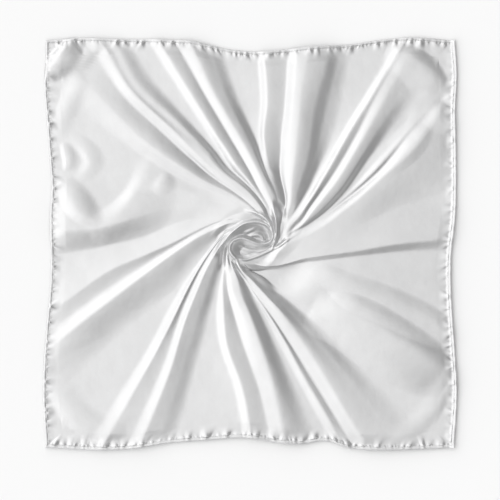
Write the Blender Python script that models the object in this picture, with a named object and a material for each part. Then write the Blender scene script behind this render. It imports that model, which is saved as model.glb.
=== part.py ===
"""Square satin scarf laid flat, its middle pinched up and twirled into a small rosette.

Metres, +Z up.  The origin is the middle of the laid scarf, on the surface that it lies on.
+X is the scarf's right side and +Y its far side, as seen by someone who looks down at it.
The cloth is one square with four turned hems.  Its folds run out of the twirl along straight
lines that are tangent to a small circle, so the heights below are worked out in the bearing
of that line, not in the plain polar angle.
"""
import math

import bmesh
import bpy
import numpy as np

MM = 0.001

# Driving sizes.
WALL = 1.2 * MM
SEAM_GAP = 0.3 * MM
HEM_WIDTH = 6.0 * MM
HEM_THICKNESS = 1.8 * MM
HALF_X = 297.0 * MM
HALF_Y = 295.6 * MM
TWIRL_CENTRE = (0.7 * MM, 2.2 * MM)
TANGENT_RADIUS = 37.0 * MM
CORE_RADIUS = 35.0 * MM
PANEL_HOLE = CORE_RADIUS + SEAM_GAP

# Each side of the laid outline: how far it is drawn in, in mm, at places along the side, in mm.
# Along runs west to east on the north and south sides, and south to north on the other two.
NORTH_DRAWN_IN = ((-291, 4), (-262, 1.2), (-191, 2.1), (-115, 3.3), (-85, 5), (-59, 10.7), (-30, 17),
                  (12, 20.3), (60, 16.5), (92, 13.3), (142, 10.3), (191, 3.3), (231, 0), (291, 4))
SOUTH_DRAWN_IN = ((-291, 3), (-232, 0), (-182, 0.7), (-113, 10), (-63, 13.6), (-2, 17), (39, 10.8),
                  (72, 8), (112, 12.4), (148, 2.1), (175, 0), (251, 0.7), (291, 2.5))
EAST_DRAWN_IN = ((-290, 4), (-216, 0), (-137, 4.3), (-97, 7), (-57, 8.8), (-18, 8.4), (41, 2.4),
                 (140, 1.4), (190, 2.3), (255, 0.2), (290, 3))
WEST_DRAWN_IN = ((-290, 3.5), (-236, 0), (-166, 1.4), (-127, 4.3), (-67, 9.6), (-5, 11.2), (44, 10.4),
                 (82, 12.2), (123, 9.4), (200, 3.5), (230, 1.4), (260, 3.2), (290, 4))

# One row for each main fold, counter-clockwise from the east.  near, middle and far are the
# bearings of its line, in degrees, and rise_near to rise_far the heights of its crest, in mm, at
# the three distances in STATIONS.  clockwise and counter are the widths of its two flanks, in
# degrees at the middle station.  full is 1 for an even flank on the clockwise side, and more
# for a shoulder that stays high and then drops.
STATIONS = (86 * MM, 172 * MM, 260 * MM)
FOLD_COLUMNS = ("name", "near", "middle", "far", "clockwise", "counter", "full",
                "rise_near", "rise_middle", "rise_far")
FOLD_ROWS = (
    ("east_roll", 30, 32, 32, 23, 7, 2.2, 12, 10, 5),
    ("north_east_low", 45.7, 49, 52, 7, 7, 1, 5, 5, 3.5),
    ("north_east_broad", 72, 78, 80, 18, 12, 1.2, 8, 9, 6),
    ("north_right", 97, 94.5, 92, 8, 6, 1, 6, 5, 4),
    ("north_middle", 104, 110.5, 113, 10, 8, 1, 7, 6, 5),
    ("north_thin", 117, 121.5, 121.5, 5, 5, 1, 5, 3.5, 2.5),
    ("north_left", 130, 134, 134, 8, 7, 1, 6, 5, 4),
    ("north_west", 145, 146.5, 145.5, 6, 9, 1, 4, 3, 1.5),
    ("west_bulge", 170, 177, 184, 18, 12, 1, 6, 4, 1),
    ("west_upper", 196, 201, 202.5, 6, 5, 1, 4, 3, 1.5),
    ("west_lower", 209, 213.5, 214, 9, 12, 1, 7, 6, 2),
    ("south_west_thin", 234, 238.7, 239.5, 8, 5, 1, 5, 4, 2.5),
    ("south_west", 247, 248.7, 249.5, 6, 8, 1, 6, 5, 3),
    ("south_left", 270, 275.5, 279, 7, 6, 1, 4, 4, 3),
    ("south_middle", 289, 289.5, 289, 8, 9, 1, 7, 6, 5),
    ("south_thin", 304.5, 302, 301.5, 4, 4, 1, 3, 2, 1.5),
    ("south_right", 315, 312, 310, 8, 13, 1, 7, 6, 5),
    ("south_east", 346, 334, 329, 12, 14, 1, 4, 4, 3),
)
FOLDS = [dict(zip(FOLD_COLUMNS, row)) for row in FOLD_ROWS]
FLANK_SPREAD = 0.4     # flanks widen outwards as the distance to the power of one minus this
COLLAR_RISE = 6.0 * MM  # the cloth climbs to this all round the twirl
COLLAR_REACH = 45.0 * MM
BLEND = 3.0            # power that joins neighbouring folds: higher makes sharper creases
SECTOR_STEP = 3.5      # degrees between the panel's lines of points
LEAST_SECTORS = 3      # fewest lines of points between two neighbouring crests
EDGE_ROUNDS = 12       # repeats that find where a line of points meets the edge of the square
EASED_RINGS = 5        # rings over which the round hole's plan turns into the laid outline's
SLOPE_STEP = 0.5 * MM  # half the distance over which a slope of the cloth is measured
RING_FRACTIONS = (0, 0.02, 0.045, 0.075, 0.11, 0.15, 0.2, 0.26, 0.33, 0.41, 0.5, 0.6, 0.7, 0.8,
                  0.9, 1.0)

# The twirl, in mm: a rounded solid for the wound layers under it, with their edges as steps in
# its turned profile, and the route of the S-shaped crest that stands on it.
CORE_PROFILE = ((35.0, 0), (35.0, 7.4), (34.5, 8.2), (33.6, 8.6), (33.2, 9.5), (32.5, 10.1),
                (31.2, 10.3), (30.8, 11.0), (30.0, 11.4))
CORE_TOP = CORE_PROFILE[-1][1] * MM
CORE_SIDES = 48
CREST_WIDTH = 2.6 * MM
CREST_RISE = 4.6 * MM
# Its section, as shares of its width and of its rise, and how it sinks towards its two ends.
CREST_SECTION = ((-0.5, 0), (0.5, 0), (0.46, 0.7), (0.2, 1.0), (-0.2, 1.0), (-0.46, 0.7))
CREST_TAPER = 8.0 * MM
CREST_END = 0.35
CREST_STEPS = 2        # points along the crest for each point of its route
CREST_ROUTE = ((-27.5, 13), (-21, 19.5), (-12, 25), (-2.5, 28.7), (7, 29.9), (16.5, 28.3),
               (24.5, 24.2), (29.8, 18.5), (31.6, 11.5), (29.8, 4.6), (24.7, -0.2), (16.5, -1.9),
               (6.5, 0), (-2.2, 3.9), (-10, 5.8), (-18, 5.7), (-25.1, 2.7), (-29.8, -2),
               (-30.9, -10), (-28.6, -16.8), (-23.5, -22.8), (-15, -26.2), (-6, -25.3),
               (6.5, -21), (19, -14.6), (28.5, -10.4))

SATIN_COLOUR = (0.80, 0.80, 0.80, 1.0)
SATIN_ROUGHNESS = 0.32
SHARP_ANGLE = math.radians(50)


def clear_scene():
    """Remove every object that the file opened with."""
    for existing in list(bpy.data.objects):
        bpy.data.objects.remove(existing, do_unlink=True)


def satin_material(name):
    """White satin: smooth cloth with a soft gloss."""
    material = bpy.data.materials.new(name)
    material.use_nodes = True
    shader = material.node_tree.nodes["Principled BSDF"]
    shader.inputs["Base Color"].default_value = SATIN_COLOUR
    shader.inputs["Roughness"].default_value = SATIN_ROUGHNESS
    shader.inputs["Metallic"].default_value = 0.0
    return material


def add_piece(name, vertices, faces):
    """Make one named object from points in metres, smooth except at its real edges."""
    mesh = bpy.data.meshes.new(name)
    mesh.from_pydata([tuple(point) for point in vertices], [], faces)
    work = bmesh.new()
    work.from_mesh(mesh)
    bmesh.ops.recalc_face_normals(work, faces=work.faces)
    work.to_mesh(mesh)
    work.free()
    mesh.shade_smooth()
    mesh.set_sharp_from_angle(angle=SHARP_ANGLE)
    mesh.materials.append(satin_material(name + "_satin"))
    piece = bpy.data.objects.new(name, mesh)
    bpy.context.collection.objects.link(piece)
    return piece


def smooth_through(stations, values, places):
    """Catmull-Rom curve through values at rising stations, read at places; flat past the ends."""
    stations = np.asarray(stations, float)
    values = np.asarray(values, float)
    places = np.clip(places, stations[0], stations[-1])
    slopes = np.gradient(values, stations)
    left = np.clip(np.searchsorted(stations, places) - 1, 0, len(stations) - 2)
    span = stations[left + 1] - stations[left]
    t = (places - stations[left]) / span
    return ((2 * t**3 - 3 * t**2 + 1) * values[left] + (t**3 - 2 * t**2 + t) * span * slopes[left]
            + (3 * t**2 - 2 * t**3) * values[left + 1] + (t**3 - t**2) * span * slopes[left + 1])


def drawn_in(side, along):
    """How far one side of the laid outline lies inside the full square, in metres."""
    table = np.array(side, float) * MM
    return smooth_through(table[:, 0], table[:, 1], along)


def laid_point(x, y, inset):
    """Move a point of the full square to its place in the laid outline, less an inset."""
    share_x = x / HALF_X
    share_y = y / HALF_Y
    east = HALF_X - drawn_in(EAST_DRAWN_IN, y) - inset
    west = HALF_X - drawn_in(WEST_DRAWN_IN, y) - inset
    north = HALF_Y - drawn_in(NORTH_DRAWN_IN, x) - inset
    south = HALF_Y - drawn_in(SOUTH_DRAWN_IN, x) - inset
    laid_x = 0.5 * (1 + share_x) * east - 0.5 * (1 - share_x) * west
    laid_y = 0.5 * (1 + share_y) * north - 0.5 * (1 - share_y) * south
    return laid_x, laid_y


def wrap_angle(reach):
    """Degrees between a tangent line's bearing and the polar angle of its point at a reach."""
    return np.degrees(np.arcsin(np.clip(TANGENT_RADIUS / np.maximum(reach, MM), 0, 1)))


def crest_bearing(fold, reach):
    """Bearing of one fold's crest line at a distance from the twirl's centre."""
    return smooth_through(STATIONS, (fold["near"], fold["middle"], fold["far"]), reach)


def fold_height(fold, reach, bearing):
    """Height of one fold alone: two rounded flanks that meet at its crest."""
    rises = (fold["rise_near"], fold["rise_middle"], fold["rise_far"])
    spread = (STATIONS[1] / np.maximum(reach, TANGENT_RADIUS)) ** FLANK_SPREAD
    offset = (bearing - crest_bearing(fold, reach) + 180) % 360 - 180
    flank = np.where(offset < 0, fold["clockwise"], fold["counter"]) * spread
    share = np.clip(np.abs(offset) / flank, 0, 1) ** np.where(offset < 0, fold["full"], 1)
    return smooth_through(STATIONS, rises, reach) * MM * 0.5 * (1 + np.cos(np.pi * share))


def cloth_height(x, y):
    """Height of the cloth's underside above the surface that it lies on."""
    dx = x - TWIRL_CENTRE[0]
    dy = y - TWIRL_CENTRE[1]
    reach = np.hypot(dx, dy)
    bearing = np.degrees(np.arctan2(dy, dx)) + wrap_angle(reach)
    nearness = np.clip(1 - (reach - CORE_RADIUS) / COLLAR_REACH, 0, 1)
    total = (COLLAR_RISE * nearness**2) ** BLEND
    for fold in FOLDS:
        total = total + fold_height(fold, reach, bearing) ** BLEND
    return total ** (1 / BLEND)


def upright_thickness(x, y):
    """The wall's thickness measured straight up, so that it is WALL across the slope."""
    step = SLOPE_STEP
    slope_x = (cloth_height(x + step, y) - cloth_height(x - step, y)) / (2 * step)
    slope_y = (cloth_height(x, y + step) - cloth_height(x, y - step)) / (2 * step)
    return WALL * np.sqrt(1 + slope_x**2 + slope_y**2)


def sample_lines():
    """The panel's lines of points: (fold, next fold, share of the way between their crests)."""
    lines = []
    for index, fold in enumerate(FOLDS):
        following = FOLDS[(index + 1) % len(FOLDS)]
        gap = (following["middle"] - fold["middle"]) % 360
        steps = max(LEAST_SECTORS, round(gap / SECTOR_STEP))
        lines += [(fold, following, step / steps) for step in range(steps)]
    return lines


def line_bearing(line, reach):
    """Bearing of one line of points at a distance from the twirl's centre."""
    fold, following, share = line
    start = crest_bearing(fold, reach)
    gap = (crest_bearing(following, reach) - start) % 360
    return start + share * gap


def edge_reach(line):
    """Distance from the twirl's centre at which a line meets the full square."""
    reach = HALF_X
    for _ in range(EDGE_ROUNDS):
        angle = math.radians(line_bearing(line, reach) - wrap_angle(reach))
        across = abs(math.cos(angle)) / (HALF_X - math.copysign(TWIRL_CENTRE[0], math.cos(angle)))
        along = abs(math.sin(angle)) / (HALF_Y - math.copysign(TWIRL_CENTRE[1], math.sin(angle)))
        reach = 1 / max(across, along)
    return reach


def panel_plan():
    """Plan of the panel's points as two arrays, one row for each ring, the last on its edge."""
    lines = sample_lines()
    edges = np.array([edge_reach(line) for line in lines])
    plan_x = []
    plan_y = []
    for fraction in RING_FRACTIONS:
        reach = PANEL_HOLE + (edges - PANEL_HOLE) * fraction
        bearing = np.array([line_bearing(line, one) for line, one in zip(lines, reach)])
        angle = np.radians(bearing - wrap_angle(reach))
        plan_x.append(TWIRL_CENTRE[0] + reach * np.cos(angle))
        plan_y.append(TWIRL_CENTRE[1] + reach * np.sin(angle))
    full_x = np.array(plan_x)
    full_y = np.array(plan_y)
    for corner_x, corner_y in ((1, 1), (-1, 1), (-1, -1), (1, -1)):
        apart = np.hypot(full_x[-1] - corner_x * HALF_X, full_y[-1] - corner_y * HALF_Y)
        nearest = int(np.argmin(apart))
        full_x[-1, nearest] = corner_x * HALF_X
        full_y[-1, nearest] = corner_y * HALF_Y
    laid_x, laid_y = laid_point(full_x, full_y, HEM_WIDTH)
    ease = np.clip(np.array(RING_FRACTIONS) / RING_FRACTIONS[EASED_RINGS], 0, 1)[:, None]
    return full_x + (laid_x - full_x) * ease, full_y + (laid_y - full_y) * ease


def build_panel(plan_x, plan_y):
    """The square of cloth between the twirl and its hems, as a wall over its folds."""
    under = cloth_height(plan_x, plan_y)
    over = under + upright_thickness(plan_x, plan_y)
    rings, sectors = plan_x.shape
    vertices = [(x, y, z) for x, y, z in zip(plan_x.ravel(), plan_y.ravel(), under.ravel())]
    vertices += [(x, y, z) for x, y, z in zip(plan_x.ravel(), plan_y.ravel(), over.ravel())]
    top = rings * sectors
    faces = []
    for sector in range(sectors):
        following = (sector + 1) % sectors
        for ring in range(rings - 1):
            a = ring * sectors + sector
            b = ring * sectors + following
            c = (ring + 1) * sectors + following
            d = (ring + 1) * sectors + sector
            faces.append((a, b, c, d))
            faces.append((top + a, top + d, top + c, top + b))
        outer = (rings - 1) * sectors
        faces.append((sector, top + sector, top + following, following))
        faces.append((outer + sector, outer + following, top + outer + following,
                      top + outer + sector))
    return add_piece("panel", vertices, faces)


def side_points(plan_x, plan_y, across):
    """The points of the panel's edge along one side, in order, given which way it faces."""
    edge_x = plan_x[-1]
    edge_y = plan_y[-1]
    count = len(edge_x)
    corners = [int(np.argmin(np.hypot(edge_x - cx * HALF_X, edge_y - cy * HALF_Y)))
               for cx, cy in ((1, -1), (1, 1), (-1, 1), (-1, -1))]
    side = {(1, 0): 0, (0, 1): 1, (-1, 0): 2, (0, -1): 3}[across]
    start = corners[side]
    end = corners[(side + 1) % 4]
    steps = (end - start) % count
    order = [(start + step) % count for step in range(steps + 1)]
    return [(edge_x[index], edge_y[index]) for index in order]


def build_hem(name, points, across, runs_to_corners):
    """One turned hem: a doubled strip along a side of the panel, a seam's gap away from it."""
    out = np.array(across, float)
    along = np.array((-across[1], across[0]), float)
    line = [np.array(point) for point in points]
    if runs_to_corners:
        line = [line[0] - along * HEM_WIDTH] + line + [line[-1] + along * HEM_WIDTH]
    inner = np.array([point + out * SEAM_GAP for point in line])
    outer = np.array([point + out * HEM_WIDTH for point in line])
    vertices = []
    for near, far in zip(inner, outer):
        near_z = float(cloth_height(near[0], near[1]))
        far_z = float(cloth_height(far[0], far[1]))
        vertices += [(near[0], near[1], near_z), (far[0], far[1], far_z),
                     (far[0], far[1], far_z + HEM_THICKNESS),
                     (near[0], near[1], near_z + HEM_THICKNESS)]
    faces = [(0, 1, 2, 3)]
    for step in range(len(line) - 1):
        for corner in range(4):
            a = 4 * step + corner
            b = 4 * step + (corner + 1) % 4
            faces.append((a, a + 4, b + 4, b))
    last = 4 * (len(line) - 1)
    faces.append((last + 3, last + 2, last + 1, last))
    return add_piece(name, vertices, faces)


def build_core():
    """The wound layers hidden in the twirl, as one rounded solid with a stepped edge."""
    vertices = []
    for radius, height in CORE_PROFILE:
        for side in range(CORE_SIDES):
            angle = math.tau * side / CORE_SIDES
            vertices.append((TWIRL_CENTRE[0] + radius * MM * math.cos(angle),
                             TWIRL_CENTRE[1] + radius * MM * math.sin(angle), height * MM))
    faces = []
    for level in range(len(CORE_PROFILE) - 1):
        for side in range(CORE_SIDES):
            a = level * CORE_SIDES + side
            b = level * CORE_SIDES + (side + 1) % CORE_SIDES
            faces.append((a, b, b + CORE_SIDES, a + CORE_SIDES))
    top = (len(CORE_PROFILE) - 1) * CORE_SIDES
    faces.append(tuple(range(top, top + CORE_SIDES)))
    faces.append(tuple(reversed(range(CORE_SIDES))))
    return add_piece("twirl_core", vertices, faces)


def build_crest():
    """The S-shaped standing fold on the twirl: a narrow wall with a rounded top."""
    route = np.array(CREST_ROUTE, float) * MM + np.array(TWIRL_CENTRE)
    travel = np.concatenate(([0], np.cumsum(np.hypot(*np.diff(route, axis=0).T))))
    places = np.linspace(0, travel[-1], CREST_STEPS * len(route))
    path = np.stack([smooth_through(travel, route[:, axis], places) for axis in (0, 1)], axis=1)
    heading = np.gradient(path, axis=0)
    heading /= np.linalg.norm(heading, axis=1)[:, None]
    aside = np.stack((-heading[:, 1], heading[:, 0]), axis=1)
    foot = CORE_TOP + SEAM_GAP
    ends = np.clip(np.minimum(places, travel[-1] - places) / CREST_TAPER, CREST_END, 1)
    vertices = []
    for point, side, fullness in zip(path, aside, ends):
        for across, up in CREST_SECTION:
            place = point + side * across * CREST_WIDTH
            vertices.append((place[0], place[1], foot + up * CREST_RISE * fullness))
    sides = len(CREST_SECTION)
    faces = [tuple(reversed(range(sides)))]
    for step in range(len(path) - 1):
        for corner in range(sides):
            a = step * sides + corner
            b = step * sides + (corner + 1) % sides
            faces.append((a, b, b + sides, a + sides))
    last = (len(path) - 1) * sides
    faces.append(tuple(range(last, last + sides)))
    return add_piece("twirl_crest", vertices, faces)


def main():
    """Build the panel, its four hems and the twirl."""
    clear_scene()
    plan_x, plan_y = panel_plan()
    build_panel(plan_x, plan_y)
    for name, across, runs_to_corners in (("hem_east", (1, 0), False), ("hem_north", (0, 1), True),
                                          ("hem_west", (-1, 0), False),
                                          ("hem_south", (0, -1), True)):
        build_hem(name, side_points(plan_x, plan_y, across), across, runs_to_corners)
    build_core()
    build_crest()


main()
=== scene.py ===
"""Looks of the square satin scarf: the fine cloth, its hems and stitches, light and camera.

The cloth is worked out as heights over the surface it lies on.  Its folds leave the twirl along
straight lines that are tangent to a small circle, so folds are placed by the bearing of that
line in degrees, counter-clockwise from +X, and by their reach from the twirl's centre in mm.
"""
import math

import bpy
import numpy as np
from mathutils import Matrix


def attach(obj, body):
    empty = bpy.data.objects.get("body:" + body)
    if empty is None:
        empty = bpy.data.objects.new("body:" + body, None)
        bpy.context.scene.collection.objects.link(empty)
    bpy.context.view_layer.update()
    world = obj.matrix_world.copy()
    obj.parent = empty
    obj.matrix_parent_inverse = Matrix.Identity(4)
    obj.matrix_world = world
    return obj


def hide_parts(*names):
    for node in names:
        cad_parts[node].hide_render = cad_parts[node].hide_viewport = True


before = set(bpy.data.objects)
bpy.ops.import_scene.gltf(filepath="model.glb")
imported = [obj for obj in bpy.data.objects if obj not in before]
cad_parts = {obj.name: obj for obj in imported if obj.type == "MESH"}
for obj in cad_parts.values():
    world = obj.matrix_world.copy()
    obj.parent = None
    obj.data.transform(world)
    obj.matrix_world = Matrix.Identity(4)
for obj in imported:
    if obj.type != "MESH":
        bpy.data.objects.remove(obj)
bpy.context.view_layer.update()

MM = 0.001
TINY = 1e-12                 # keeps a division away from zero

# -------- sizes shared with the CAD
HALF_X = 297.0               # the laid outline's full square, mm
HALF_Y = 295.6
TWIRL_X, TWIRL_Y = 0.7, 2.2  # centre of the twirl, mm
TANGENT_RADIUS = 37.0        # of the circle that the folds' lines touch, mm

# Each side of the laid outline: how far it is drawn in, in mm, at places along the side, in mm.
NORTH_DRAWN_IN = ((-291, 4), (-262, 1.2), (-191, 2.1), (-115, 3.3), (-85, 5), (-59, 10.7), (-30, 17),
                  (12, 20.3), (60, 16.5), (92, 13.3), (142, 10.3), (191, 3.3), (231, 0), (291, 4))
SOUTH_DRAWN_IN = ((-291, 3), (-232, 0), (-182, 0.7), (-113, 10), (-63, 13.6), (-2, 17), (39, 10.8),
                  (72, 8), (112, 12.4), (148, 2.1), (175, 0), (251, 0.7), (291, 2.5))
EAST_DRAWN_IN = ((-290, 4), (-216, 0), (-137, 4.3), (-97, 7), (-57, 8.8), (-18, 8.4), (41, 2.4),
                 (140, 1.4), (190, 2.3), (255, 0.2), (290, 3))
WEST_DRAWN_IN = ((-290, 3.5), (-236, 0), (-166, 1.4), (-127, 4.3), (-67, 9.6), (-5, 11.2), (44, 10.4),
                 (82, 12.2), (123, 9.4), (200, 3.5), (230, 1.4), (260, 3.2), (290, 4))

# -------- the cloth
HEM_WIDTH = 5.4
MARGIN_WIDTH = 18.0          # puckered strip of cloth inside the hems
STITCH_INSET = 4.5           # from the edge to the line of stitches
CLOTH_THICKNESS = 0.35
WRAP_KNEE = 1.2              # tangent radii; nearer the centre the lines turn evenly
LINES = 880                  # lines of the cloth grid, all round
TWIRL_RINGS = 92
PANEL_RINGS = 74
RING_SPREAD = 1.3            # above 1, rings are closer together near the twirl
INNER_REACH = 0.4            # where the grid's lines start, mm from the twirl's centre
TWIRL_REACH = 58.0           # where the twirl's piece ends and the panel starts
UNDER_ROWS = 10              # rows of the coarser underside
BORDER_UNDER_ROWS = 3
EDGE_STEPS = 15              # rounds in which the lines' ends on the full square are found
SIDE_COLUMNS = 620           # columns of the border along each side

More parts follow.
